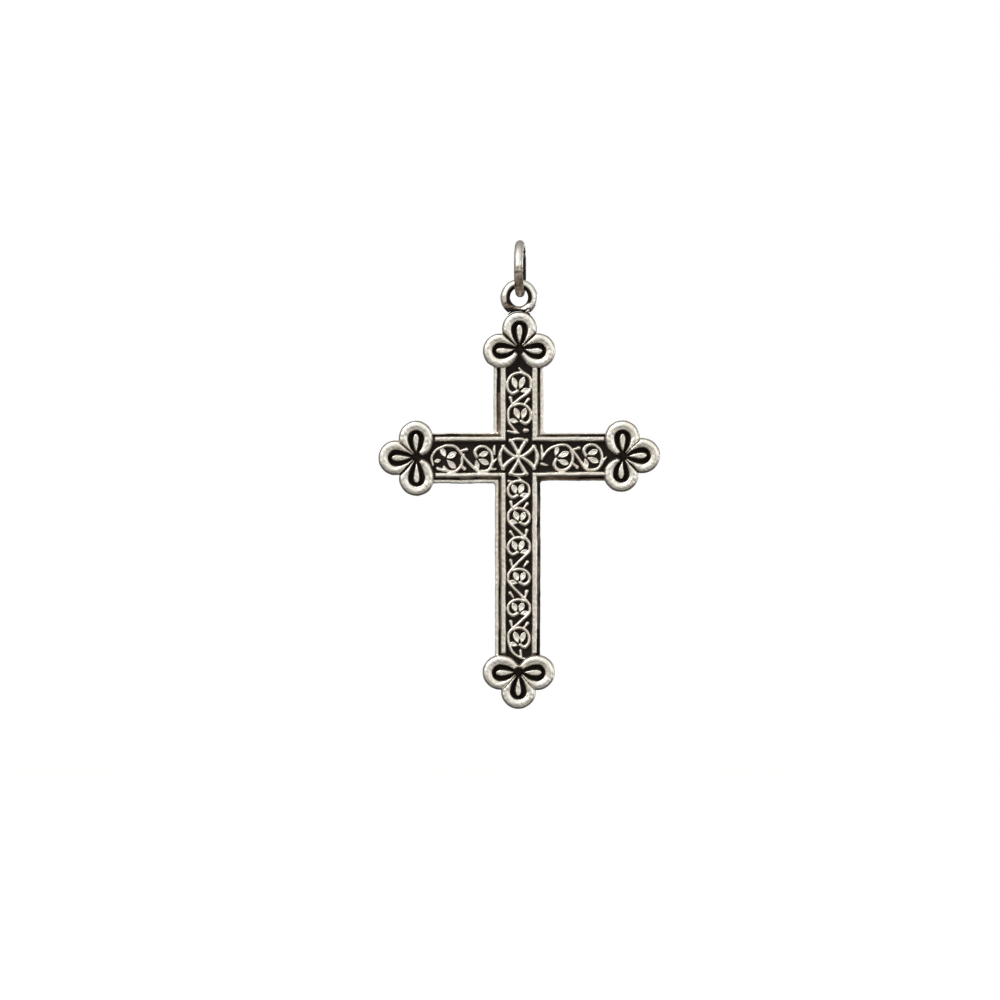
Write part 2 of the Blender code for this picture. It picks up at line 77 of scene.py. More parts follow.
# The cast is not quite even, so each half of the shaft and of the beam has its own widths. Shaft sides are
# left and right, beam sides are bottom and top. They are measured from the crossing's middle.
SHAFT_AXIS = 0.12
SHAFT_PANEL = 3.1
HEAD_EDGES = (-2.9, 3.04)
FOOT_EDGES = (-2.75, 2.68)
HEAD_RAIL, FOOT_RAIL = 0.7, 0.62
HEAD_GROOVES = (0.38, 0.28)
FOOT_GROOVES = (0.26, 0.42)
BEAM_AXIS, BEAM_TILT = 0.12, 0.004
BEAM_PANEL, BEAM_TAPER = 3.72, 0.008
LEFT_EDGES = (-3.08, 2.95)
RIGHT_EDGES = (-2.75, 2.95)
BEAM_RAIL = 0.56
BEAM_GROOVE = 0.27

# Heights over the flat back.
CROWN = 2.2
FLOOR = 1.05
RECESS = 0.9
GROOVE = 0.78
LEDGE = 1.16
DIMPLE = 0.8
RAIL = 1.8
VINE = 1.52
LEAF = 1.5
MEDALLION = 1.72
PETAL = 1.85
WALL_TOP = 1.12

# The grid of heights: its step, its margin round the casting, and how far the drawing on it strays.
GRID_STEP = 0.075
GRID_MARGIN = 0.4
GRID_WOBBLE = 0.028

RAIL_EDGE = 0.13
RIDGE_WEAR = 0.8
HUB_RADIUS = 1.0
DIMPLE_RADIUS = 0.44
LOBES_REACH = 5.2
BACK_NET = 1.2

# Where the front and the back lie on the texture (left edge, share of it per mm), and a wall row's height.
FRONT_UNWRAP = (0.0, 0.019)
BACK_UNWRAP = (0.7, 0.0085)
WALL_ROW = 0.018

# Jump ring, suspension loop and the solder between it and the bud.
RING_WIRE = 1.1
RING_CENTRE_RADIUS = 2.9
RING_CENTRE_Z = -2.35
RING_YAW = math.radians(-4)
RING_JOINT = math.radians(56)
RING_JOINT_WIDTH = 0.08
LOOP_WIRE = 1.06
LOOP_CENTRE_RADIUS = 1.66
LOOP_CENTRE_Z = -5.78
LOOP_SEAT = 0.24
RING_ASIDE = 0.25
LOOP_ASIDE = 0.13
TOP_BUD_Z = -7.47
NUGGET = (1.04, -0.5, -1.62)
NUGGET_RADII = (0.27, 0.2, 0.15)
NUGGET_TILT = (0.9, 0.44)
RING_VOXEL, LOOP_VOXEL, SOLDER_VOXEL = 0.045, 0.04, 0.03
VOXEL_MARGIN = 0.2

cross_low, cross_high = (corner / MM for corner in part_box("cross_body"))
BACK_Y = cross_high.y
CROSSING_Z = cross_high.z - LOBE_RADIUS - LOBE_OFFSET - TOP_REACH

UP = np.array((0.0, 1.0))
RIGHT = np.array((1.0, 0.0))


# ---------------------------------------------------------------- small helpers


def smooth(low, high, value):
    t = np.clip((value - low) / (high - low), 0, 1)
    return t * t * (3 - 2 * t)


def rounded(distance, radius):
    """0 at an edge, 1 from a radius inwards, on a quarter circle."""
    t = np.clip(distance / radius, 0, 1)
    return np.sqrt(1 - (1 - t) ** 2)


def ripple(x, y, length, seed):
    """A smooth unevenness between about -1 and 1, with waves of about this length."""
    random = np.random.default_rng(seed)
    total = np.zeros_like(x)
    for _ in range(7):
        turn = random.uniform(0, 2 * math.pi)
        wave = length * random.uniform(0.7, 1.6)
        phase = random.uniform(0, 2 * math.pi)
        total += np.sin((x * math.cos(turn) + y * math.sin(turn)) * 2 * math.pi / wave + phase)
    return total / 4


def outline_distance(points, x, y):
    """Signed distance to a closed outline: negative inside."""
    points = np.asarray(points, float)
    nearest = np.full(x.shape, 1e9)
    inside = np.zeros(x.shape, bool)
    for (ax, ay), (bx, by) in zip(points, np.roll(points, -1, 0)):
        dx, dy = bx - ax, by - ay
        t = np.clip(((x - ax) * dx + (y - ay) * dy) / max(dx * dx + dy * dy, 1e-12), 0, 1)
        nearest = np.minimum(nearest, np.hypot(x - ax - t * dx, y - ay - t * dy))
        if dy:
            crosses = (ay > y) != (by > y)
            inside ^= crosses & (x < (y - ay) * dx / dy + ax)
    return np.where(inside, -nearest, nearest)


def curved(points, steps=6):
    """A smooth path through points."""
    points = np.asarray(points, float)
    padded = np.vstack((2 * points[0] - points[1], points, 2 * points[-1] - points[-2]))
    made = []
    for index in range(len(points) - 1):
        a, b, c, d = padded[index : index + 4]
        for step in range(steps):
            t = step / steps
            made.append(
                0.5 * (2 * b + (c - a) * t + (2 * a - 5 * b + 4 * c - d) * t**2
                       + (3 * b - a - 3 * c + d) * t**3)
            )
    made.append(points[-1])
    return np.array(made)


def arc(middle, radius, start, end, steps):
    turns = np.linspace(start, end, steps + 1)
    return np.asarray(middle) + radius * np.stack((np.cos(turns), np.sin(turns)), 1)


# ---------------------------------------------------------------- the casting's front as heights on a grid


class Relief:
    """Heights over the back, wear with some painted shade, and outline of the casting's front. x is to the
    right and y is up.
    """

    def __init__(self, low, high):
        self.x = np.arange(low[0], high[0] + GRID_STEP, GRID_STEP)
        self.y = np.arange(low[1], high[1] + GRID_STEP, GRID_STEP)
        self.X, self.Y = np.meshgrid(self.x, self.y)
        self.U = self.strayed(self.X, 1)
        self.V = self.strayed(self.Y, 3)
        shape = self.X.shape
        self.height = np.full(shape, FLOOR)
        self.wear_and_shade = np.zeros(shape)
        self.outline = np.full(shape, 1e3)

    def strayed(self, values, seed):
        """The values with a hand's unevenness: a broad wave and a finer one."""
        broad = GRID_WOBBLE * ripple(self.X, self.Y, 5.0, seed)
        return values + broad + 0.3 * GRID_WOBBLE * ripple(self.X, self.Y, 1.3, seed + 1)

    def window(self, points, margin):
        """The part of the grid round some points."""
        points = np.atleast_2d(points)
        low, high = points.min(0) - margin, points.max(0) + margin
        columns = slice(np.searchsorted(self.x, low[0]), np.searchsorted(self.x, high[0]))
        rows = slice(np.searchsorted(self.y, low[1]), np.searchsorted(self.y, high[1]))
        return rows, columns

    def raise_to(self, window, share, top, wear_and_shade):
        """Raises the window to at least this share of the way from floor to top, and takes on wear there."""
        height = FLOOR + share * (top - FLOOR)
        above = height > self.height[window]
        self.height[window] = np.where(above, height, self.height[window])
        self.wear_and_shade[window] = np.where(above, np.maximum(wear_and_shade, 0), self.wear_and_shade[window])

    def ridge(self, points, radii, top):
        """A rounded ridge along a path. The radii run along it at even steps."""
        points = np.asarray(points, float)
        along = np.interp(np.linspace(0, 1, len(points)), np.linspace(0, 1, len(radii)), radii)
        window = self.window(points, max(radii))
        x, y = self.U[window], self.V[window]
        share = np.zeros(x.shape)
        for a, b, ra, rb in zip(points, points[1:], along, along[1:]):
            d = b - a
            t = np.clip(((x - a[0]) * d[0] + (y - a[1]) * d[1]) / max(d @ d, 1e-12), 0, 1)
            radius = ra + (rb - ra) * t
            gone = np.hypot(x - a[0] - t * d[0], y - a[1] - t * d[1]) / radius
            share = np.maximum(share, np.sqrt(np.clip(1 - gone**2.4, 0, 1)) * np.clip(radius / 0.14, 0.5, 1))
        self.raise_to(window, share, top, RIDGE_WEAR * smooth(0.35, 0.8, share))

    def leaf(self, base, tip, width):
        """A plump leaf with a shallow blade and a vein."""
        base, tip = np.asarray(base, float), np.asarray(tip, float)
        length = np.hypot(*(tip - base))
        d = (tip - base) / length
        window = self.window([base, tip], width)
        x, y = self.U[window] - base[0], self.V[window] - base[1]
        t = (x * d[0] + y * d[1]) / length
        across = np.abs(y * d[0] - x * d[1])
        inside = np.clip(t, 0, 1)
        blade = width / 2 * np.sin(math.pi * inside**1.3) ** 0.65
        edge = np.where((t > 0) & (t < 1), blade - across, -1)
        sunk = smooth(0.14, 0.24, edge)
        vein = np.exp(-((across / 0.05) ** 2)) * smooth(0.0, 0.25, inside) * (1 - smooth(0.7, 0.95, inside))
        share = rounded(edge, 0.17) * (1 - 0.26 * sunk * (1 - 0.7 * vein))
        wear_and_shade = smooth(0.35, 0.8, rounded(edge, 0.17)) * (1 - 0.24 * sunk * (1 - 0.6 * vein))
        self.raise_to(window, share, LEAF, wear_and_shade)

    def club(self, head, tail, width):
        """A small bud: a round head on a tapering tail."""
        head, tail = np.asarray(head, float), np.asarray(tail, float)
        self.ridge(curved([tail, 0.5 * (head + tail), head], 4), (0.17, 0.21, width / 2), VINE)


# ---------------------------------------------------------------- the casting's features

# Each end: the way out, the dimple's place, and each lobe's offset from it and slip to the side. The outer
# lobe comes first, then the one on the left of the way out, then the one on its right. The side lobes slip
# towards the crossing.
ENDS = (
    (UP, (0.18, TOP_REACH), ((2.39, 0.0), (2.29, 0.23), (2.23, 0.23))),
    (-UP, (0.1, -FOOT_REACH), ((2.35, -0.06), (2.21, -0.06), (2.24, -0.06))),
    (-RIGHT, (-LEFT_REACH, 0.05), ((2.44, 0.07), (2.53, 0.0), (2.29, -0.05))),
    (RIGHT, (RIGHT_REACH, 0.16), ((2.36, 0.1), (2.23, 0.05), (2.19, 0.2))),
)


def plate_outline():
    """The plain cross under the ends, with a fillet in each inner corner."""
    points = []
    for side, end in ((1, 1), (-1, 1), (-1, -1), (1, -1)):
        beam_reach = RIGHT_REACH if side > 0 else LEFT_REACH
        shaft_reach = TOP_REACH if end > 0 else FOOT_REACH
        shaft_edge = (HEAD_EDGES if end > 0 else FOOT_EDGES)[side > 0]
        beam_edge = (RIGHT_EDGES if side > 0 else LEFT_EDGES)[end > 0]
        middle = np.array((shaft_edge + side * CORNER_FILLET, beam_edge + end * CORNER_FILLET))
        corner = [(side * beam_reach, beam_edge)]
        for step in range(9):
            turn = step * math.pi / 16
            corner.append(middle - CORNER_FILLET * np.array((side * math.sin(turn), end * math.cos(turn))))
        corner.append((shaft_edge, end * shaft_reach))
        points += corner if side * end > 0 else corner[::-1]
    return points


def make_plate(relief):
    """The plate: sunk panels, rails with mitred corners, grooves and ledges."""
    x, y = relief.U, relief.V
    relief.outline = outline_distance(plate_outline(), x, y)
    head = smooth(-0.5, 0.5, y)
    from_shaft = np.abs(x - SHAFT_AXIS) - SHAFT_PANEL / 2
    from_beam = np.abs(y - BEAM_AXIS - BEAM_TILT * x) - (BEAM_PANEL - BEAM_TAPER * x) / 2
    beside_shaft = from_shaft < from_beam
    out = np.minimum(from_shaft, from_beam)
    rail_width = np.where(beside_shaft, FOOT_RAIL + (HEAD_RAIL - FOOT_RAIL) * head, BEAM_RAIL)
    grooves = [FOOT_GROOVES[side] + (HEAD_GROOVES[side] - FOOT_GROOVES[side]) * head for side in (0, 1)]
    groove_width = np.where(beside_shaft, np.where(x < SHAFT_AXIS, *grooves), BEAM_GROOVE)
    ends = np.minimum(
        np.minimum(LEFT_REACH - RAIL_END_GAP + x, RIGHT_REACH - RAIL_END_GAP - x),
        np.minimum(TOP_REACH - RAIL_END_GAP - y, FOOT_REACH - RAIL_END_GAP + y),
    )
    rail = np.minimum(rounded(out, RAIL_EDGE), rounded(rail_width - out, RAIL_EDGE))
    rail = np.minimum(rail, rounded(ends, RAIL_EDGE))
    groove = smooth(0.5, 1.0, out / rail_width)
    beyond = out - rail_width - groove_width
    ledge = smooth(-0.05, 0.05, beyond)
    height = FLOOR + groove * (GROOVE - FLOOR) + ledge * (LEDGE - GROOVE)
    edge = rounded(-relief.outline, 0.12)
    height = np.minimum(height, WALL_TOP - 0.1 + (LEDGE - WALL_TOP + 0.1) * edge)
    relief.height = np.maximum(height, GROOVE + (RAIL - GROOVE) * rail * (rail > 0))
    # Painted shade: the ledges right of the shaft and below the beam are held at a low wear value, so they
    # are drawn brown.
    shaded = (y < 0) & (x > 0)
    darkened = np.where(out > 0, 0.36 + 0.16 * ripple(x, y, 2.6, 14), 0.0)
    ledge_wear_and_painted_shade = np.where(shaded, 0.36, 1.0) * smooth(0.0, 0.06, beyond)
    relief.wear_and_shade = np.maximum(np.maximum(smooth(0.15, 0.5, rail), ledge_wear_and_painted_shade), darkened)


def lobe_recess():
    """The outline of the sunk teardrop of a lobe, from the dimple at the origin outwards along x."""
    middle, radius = 2.36, 0.95
    side = [(0.3, 0.1), (0.46, 0.17), (0.65, 0.33), (0.95, 0.52), (1.3, 0.69), (1.75, 0.84)]
    round_end = arc((middle, 0), radius, math.radians(98), math.radians(-98), 30)
    upper = curved(side + [tuple(round_end[0])], 3)[:-1]
    return np.vstack((upper, round_end, (upper * (1, -1))[::-1]))


def lobe_body(free_side, meeting=False):
    """The outline of a lobe's rim. On a free side it runs round towards the dimple, and may meet the rim
    across it. The other sides end at the crease on the diagonal, where the next lobe begins."""
    crease = [(0.36, 0.36), (2.06, 2.06)]
    free = [(0.44, 0.3), (0.27, 0.46), (0.19, 0.7), (0.24, 0.95), (0.46, 1.29), (0.78, 1.6), (1.15, 1.82),
            (1.75, 2.02)]
    if meeting:
        free[1:5] = [(0.15, 0.42), (-0.04, 0.58), (-0.02, 0.8), (0.3, 1.16)]
    paths, angles = [], []
    for sign in (1, -1):
        path = curved(free, 3) if sign == free_side else np.array(crease)
        paths.append(path * (1, sign))
        angles.append(sign * math.atan2(path[-1][1], path[-1][0] - LOBE_OFFSET))
    upper, lower = paths
    round_end = arc((LOBE_OFFSET, 0), LOBE_RADIUS, angles[0], angles[1], 48)
    return np.vstack((upper, round_end[1:-1], lower[::-1]))


def raise_lobe(height, wear_and_shade, u, v, recess, rim_outline):
    """A lobe's rim round its sunk teardrop, and the petal in it. u runs out from the dimple, v across."""
    into = outline_distance(recess, u, v)
    body = -outline_distance(rim_outline, u, v)
    circle = np.hypot(u - LOBE_OFFSET, v) - LOBE_RADIUS
    free = smooth(-0.1, 0.5, circle + 0.5)
    inner = RECESS + (CROWN - RECESS) * rounded(into, 0.15)
    outer = WALL_TOP + (CROWN - WALL_TOP) * rounded(body, 0.2 + 0.06 * free)
    rim = np.minimum(inner, outer) - 0.05 * smooth(0.2, 0.6, np.abs(into - body))
    inside = body > 0
    height = np.where(inside, np.where(into > 0, np.maximum(rim, RECESS), RECESS), height)
    bright_in = smooth(0.0, 0.09, into)
    # Painted shade: on a lobe's free outer side the rim's outer slope keeps only half wear, so it is drawn as
    # a brown-grey band.
    outer_wear_and_painted_shade = smooth(0.02, 0.12, body) * (1 - free) + free * (0.5 + 0.5 * smooth(0.0, 0.2, body))
    wear_and_shade = np.where(inside, np.where(into > 0, bright_in * outer_wear_and_painted_shade, 0), wear_and_shade)
    swell = np.interp(u, (0.5, 0.8, 1.3, 1.9, 2.4, 2.8, 2.98), (0, 0.15, 0.28, 0.4, 0.43, 0.3, 0))
    petal = rounded(swell - np.abs(v), 0.18) * (swell > np.abs(v))
    petal_height = RECESS + (PETAL - RECESS) * petal * smooth(0.0, 0.12, swell)
    raised = petal_height > height
    height = np.where(raised, petal_height, height)
    wear_and_shade = np.where(raised, smooth(0.15, 0.5, petal), wear_and_shade)
    return height, wear_and_shade, circle


def make_lobes(relief):
    """Three rimmed lobes round the dimple of each end."""
    recess = lobe_recess()
    for outward, dimple, lobes in ENDS:
        across = np.array((-outward[1], outward[0]))
        window = relief.window(dimple, LOBES_REACH)
        x, y = relief.U[window] - dimple[0], relief.V[window] - dimple[1]
        height, wear_and_shade, outline = relief.height[window], relief.wear_and_shade[window], relief.outline[window]
        for (direction, free_side), (offset, slip) in zip(((outward, 0), (across, 1), (-across, -1)), lobes):
            u = x * direction[0] + y * direction[1]
            v = y * direction[0] - x * direction[1]
            away = smooth(0.2, 1.6, u)
            u = u - (offset - LOBE_OFFSET) * away
            v = v - (free_side or 1) * slip * away
            rim_outline = lobe_body(free_side, outward[1] < 0)
            height, wear_and_shade, circle = raise_lobe(height, wear_and_shade, u, v, recess, rim_outline)
            outline = np.minimum(outline, circle)
        hub = np.hypot(x, y)
        spare = (hub < HUB_RADIUS) & (outline > -0.05) & (height > RECESS)
        height = np.where(spare, RECESS, height)
        outline = np.minimum(outline, hub - HUB_RADIUS)
        bowl = DIMPLE + (CROWN - DIMPLE) * rounded(hub - DIMPLE_RADIUS, 0.3)
        height, lower = np.minimum(height, bowl), bowl < height
        hollow = 0.1 + 0.06 * smooth(0.45, 0.2, hub)
        wear_and_shade = np.where(hub < 0.5, hollow, np.where(lower, wear_and_shade * smooth(0.46, 0.62, hub), wear_and_shade))
        relief.height[window], relief.wear_and_shade[window], relief.outline[window] = height, wear_and_shade, outline


# The medallion's arms, a quarter turn apart, from the right one on: half the rim's spread in degrees, the
# rim's radius, its half-widths at shoulders and crest, and one side of the arm as (along, across).
SIDE_ARM = ((0.08, 0.0), (0.64, 0.18), (1.34, 0.68), (1.88, 1.3))
ARMS = (
    (39, 2.22, 0.28, 0.34, SIDE_ARM),
    (30, 2.16, 0.26, 0.28, ((0.03, 0.0), (0.28, 0.04), (0.8, 0.22), (1.3, 0.48), (1.78, 0.78), (2.02, 0.98))),
    (40, 2.22, 0.28, 0.34, SIDE_ARM),
    (29, 2.16, 0.26, 0.28, ((0.05, 0.0), (0.5, 0.08), (0.88, 0.25), (1.28, 0.5), (1.76, 0.8), (2.02, 0.98))),
)


def make_medallion(relief):
    """Four flared arms in outline, each closed by an arc, with dark triangles and diagonals between."""
    middle = np.array((0.06, 0.07))
    for quarter, (spread, radius, shoulder, crest, side) in enumerate(ARMS):
        heading = quarter * math.pi / 2
        along = np.array((math.cos(heading), math.sin(heading)))
        across = np.array((-along[1], along[0]))
        for sign in (1, -1):
            path = [middle + along * a + across * b * sign for a, b in side]
            relief.ridge(curved(path), (0.22, 0.27, 0.31, 0.3), MEDALLION)
        half = math.radians(spread)
        rim = arc(middle, radius, heading - half, heading + half, 16)
        relief.ridge(rim, (0.16, shoulder, crest, shoulder, 0.16), MEDALLION)
    relief.ridge([middle - (0, 0.25), middle + (0, 0.25)], (0.2, 0.2), MEDALLION)


def scroll_frame(axis, place, across_place, side, along_radius, across_radius):
    """Turns (out, up), in scroll radii, into a point: up runs along the axis, out to the stem's side."""
    across = np.array((axis[1], -axis[0]))

    def at(out, up):
        return axis * (place + up * along_radius) + across * (across_place + side * out * across_radius)

    return at


SCROLLS = {
    # name: (axis, place along it, place across it, side of the stem, radius along, radius across)
    "head_2": (UP, 8.9, 0.12, 1, 1.32, 1.38),
    "head_1": (UP, 5.22, 0.18, -1, 1.26, 1.33),
    "foot_1": (UP, -3.85, 0.06, 1, 1.06, 1.24),
    "foot_2": (UP, -7.09, 0.12, -1, 1.04, 1.26),
    "foot_3": (UP, -10.64, 0.1, 1, 1.08, 1.28),
    "foot_4": (UP, -14.35, 0.1, -1, 1.0, 1.28),
    "foot_5": (UP, -18.04, 0.1, 1, 1.02, 1.29),
    "foot_6": (UP, -21.64, 0.1, -1, 1.24, 1.25),
    "right_2": (RIGHT, 8.94, -0.08, 1, 1.2, 1.48),
    "right_1": (RIGHT, 5.4, -0.02, -1, 1.2, 1.5),
    "left_1": (RIGHT, -4.2, 0.13, 1, 1.15, 1.48),
    "left_2": (RIGHT, -8.5, 0.13, -1, 1.78, 1.57),
}
RUNS = (
    ("head_2", "head_1"),
    ("foot_1", "foot_2", "foot_3", "foot_4", "foot_5", "foot_6"),
    ("right_2", "right_1"),
    ("left_1", "left_2"),
)
# How each run's stem ends, past its last scroll, in that scroll's radii.
TAILS = {
    "head_1": ((0.97, -0.7), (0.69, -1.16), (0.23, -1.67)),
    "foot_6": ((0.79, -1.02), (0.35, -1.61), (-0.24, -1.94), (-0.65, -2.02)),
    "right_1": ((0.94, -0.7), (0.72, -1.3), (0.36, -1.76), (-0.14, -2.15)),
    "left_2": ((0.92, -0.31), (0.67, -0.75), (0.13, -1.05), (-0.5, -0.97)),
}
# Small strokes that fill the corners: points in mm and half-widths.
FILLERS = (
    (((-1.2, 3.2), (-0.5, 3.05), (0.05, 2.98)), (0.16, 0.2, 0.14)),
    (((-1.1, -2.82), (-0.45, -2.92)), (0.2, 0.1)),
    (((2.82, 1.48), (2.86, 0.65), (2.82, -0.18)), (0.14, 0.2, 0.14)),
    (((2.78, -0.72), (3.15, -0.8), (3.55, -0.9)), (0.2, 0.17, 0.1)),
    (((-2.82, 1.42), (-2.86, 0.95), (-2.8, 0.42)), (0.14, 0.2, 0.12)),
    (((-3.4, -1.36), (-2.66, -1.32)), (0.12, 0.14)),
    (((-9.66, -1.32), (-8.5, -1.6), (-7.4, -1.58)), (0.22, 0.15, 0.1)),
)


def make_sprig(relief, at):
    """A tendril over the top and down the far side, hooked in to a sprig of three leaves."""
    path = [(0.62, 0.78), (0.05, 0.99), (-0.55, 0.82), (-0.93, 0.35), (-1.02, -0.15), (-0.9, -0.6),
            (-0.55, -0.88), (-0.12, -0.66)]
    relief.ridge(curved([at(*p) for p in path], 5), (0.18, 0.23, 0.23, 0.23, 0.24, 0.28, 0.24), VINE)
    for base, tip, width in (((-0.2, -0.55), (-0.54, 0.58), 0.8), ((0.03, -0.55), (0.44, 0.64), 0.82),
                             ((0.04, -0.76), (0.92, -0.5), 0.68)):
        relief.leaf(at(*base), at(*tip), width)


def make_end_sprig(relief, at):
    """The large scroll at the end of the left arm: a tendril round the near side, and four leaves."""
    path = [(0.3, 1.12), (0.06, 1.0), (-0.4, 0.98), (-0.75, 0.78), (-1.0, 0.4), (-0.93, 0.03), (-0.64, -0.22)]
    relief.ridge(curved([at(*p) for p in path], 5), (0.18, 0.23, 0.23, 0.23, 0.26, 0.22), VINE)
    for base, tip, width in (((0.08, -0.1), (0.86, -0.42), 0.8), ((0.0, -0.06), (0.5, 0.62), 0.86),
                             ((-0.08, -0.04), (-0.74, 0.58), 0.84), ((-0.06, -0.38), (-0.26, -0.88), 0.6)):
        relief.leaf(at(*base), at(*tip), width)


def make_vine(relief, names):
    """A stem that sways from scroll to scroll, with a club bud on each side where they meet."""
    frames = [scroll_frame(*SCROLLS[name]) for name in names]
    stem = [frames[0](0.0, 1.4), frames[0](0.3, 1.08)]
    for name, at in zip(names, frames):
        stem += [at(0.88, 0.6), at(1.03, 0.0)]
        if name == names[-1]:
            stem += [at(*point) for point in TAILS[name]]
            break
        follower = frames[names.index(name) + 1]
        axis, _, _, side, _, radius = SCROLLS[name]
        across = side * np.array((axis[1], -axis[0])) * radius
        between = 0.5 * (at(0, 0) + follower(0, 0))
        stem += [at(0.9, -0.7), between]
        relief.club(between - 0.76 * across + 0.15 * axis, between - 0.62 * across - 0.62 * axis, 0.56)
        relief.club(between + 0.8 * across - 0.05 * axis, between + 0.5 * across - 0.56 * axis, 0.56)
    relief.ridge(curved(stem, 5), (0.15, 0.23, 0.23, 0.23, 0.23, 0.23, 0.23, 0.18), VINE)
    for name, at in zip(names, frames):
        (make_end_sprig if name == "left_2" else make_sprig)(relief, at)


def make_fillers(relief):
    """The small strokes and dots in the panels' corners."""
    for points, radii in FILLERS:
        relief.ridge(curved(points, 4), [1.2 * radius for radius in radii], VINE)
    relief.ridge([(0.86, 3.26), (1.1, 3.26)], (0.34, 0.3), VINE)
    foot = scroll_frame(*SCROLLS["foot_6"])
    relief.club(foot(-0.17, -1.2), foot(-0.24, -1.86), 0.42)


def make_relief():
    """The whole front of the casting. The panels' drawing comes before the lobes, which cover its ends."""
    low = (cross_low.x - GRID_MARGIN, cross_low.z - CROSSING_Z - GRID_MARGIN)
    high = (cross_high.x + GRID_MARGIN, cross_high.z - CROSSING_Z + GRID_MARGIN)
    relief = Relief(low, high)
    make_plate(relief)
    for names in RUNS:
        make_vine(relief, names)
    make_fillers(relief)
    make_medallion(relief)
    make_lobes(relief)
    relief.height += 0.012 * ripple(relief.X, relief.Y, 0.5, 11) + 0.012 * ripple(relief.X, relief.Y, 1.9, 12)
    return relief


# ---------------------------------------------------------------- the casting as a mesh


def boundary_loop(quads, count):
    """The corners round the outside of the quads, in order."""
    starts = quads.ravel()
    ends = np.roll(quads, -1, 1).ravel()
    real = starts != ends
    starts, ends = starts[real], ends[real]
    free = ~np.isin(starts * count + ends, ends * count + starts)
    following = dict(zip(starts[free].tolist(), ends[free].tolist()))
    loops = []
    while following:
        first, corner = following.popitem()
        loop = [first]
        while corner != first:
            loop.append(corner)
            corner = following.pop(corner)
        loops.append(loop)
    return max(loops, key=len)


def relief_surface(relief):
    """The grid's cells inside the outline, with the corners next to it moved onto it."""
    distance = relief.outline
    slope_y, slope_x = np.gradient(distance, GRID_STEP)
    steep = np.maximum(np.hypot(slope_x, slope_y), 0.3)
    normal = np.stack((slope_x, slope_y), 2) / steep[..., None]
    near = np.abs(distance) < 0.52 * GRID_STEP
    shift = np.where(near, distance / steep, 0)
    place = np.stack((relief.X, relief.Y), 2) - normal * shift[..., None]
    state = np.where(near, 0, np.sign(distance)).astype(int)
    index = np.arange(distance.size).reshape(distance.shape)
    cell = np.stack((index[:-1, :-1], index[:-1, 1:], index[1:, 1:], index[1:, :-1]), 2).reshape(-1, 4)
    corner_state = state.ravel()[cell]
    usable = (corner_state <= 0).sum(1)
    centre = distance.ravel()[cell].mean(1)
    whole = (usable == 4) & ((corner_state < 0).any(1) | (centre < 0))
    three = (usable == 3) & (corner_state < 0).any(1)
    quads = cell[whole]
    cut = cell[three]
    lost = np.argmax(corner_state[three] > 0, 1)
    order = (lost[:, None] + np.arange(1, 5)) % 4
    triangles = np.take_along_axis(cut, order, 1)[:, :3]
    triangles = np.hstack((triangles, triangles[:, 2:]))
    return place.reshape(-1, 2), normal.reshape(-1, 2), np.vstack((quads, triangles))


def wall_rows(around, outward, top):
    """Rows of points from the front's rim down the wall to the back, each with its wear."""
    uneven = 0.02 * ripple(around[:, 0], around[:, 1], 1.2, 21)
    for share, inset, roughness, wear_and_shade_level in ((0.72, -0.01, 1, 0.8), (0.32, 0.0, 1, 0.74), (0.1, 0.03, 1, 0.82),
                                          (0.025, 0.09, 0, 0.9), (0.0, 0.17, 0, 0.85)):
        moved = around - outward * (inset + roughness * uneven)[:, None]
        yield np.column_stack((moved, top * share)), wear_and_shade_level


def flat_back(loop, relief):
    """Triangles that fill the back's rim, with a coarse net of points inside it. Points after the rim's own
    are new."""
    step = round(BACK_NET / GRID_STEP)
    rows, columns = np.mgrid[0 : len(relief.y) : step, 0 : len(relief.x) : step]
    inner = relief.outline[rows, columns] < -0.6
    net = np.column_stack((relief.x[columns[inner]], relief.y[rows[inner]]))
    size = len(loop)
    rim = [(corner, (corner + 1) % size) for corner in range(size)]
    points, _, faces, origins, _, _ = delaunay_2d_cdt([Vector(p) for p in (*loop, *net)], rim, [], 1, 1e-5)
    numbers, added = [], []
    for point, origin in zip(points, origins):
        own = [corner for corner in origin if corner < size]
        if own:
            numbers.append(own[0])
        else:
            numbers.append(size + len(added))
            added.append(tuple(point))
    return np.array(added), [[numbers[corner] for corner in face[::-1]] for face in faces]


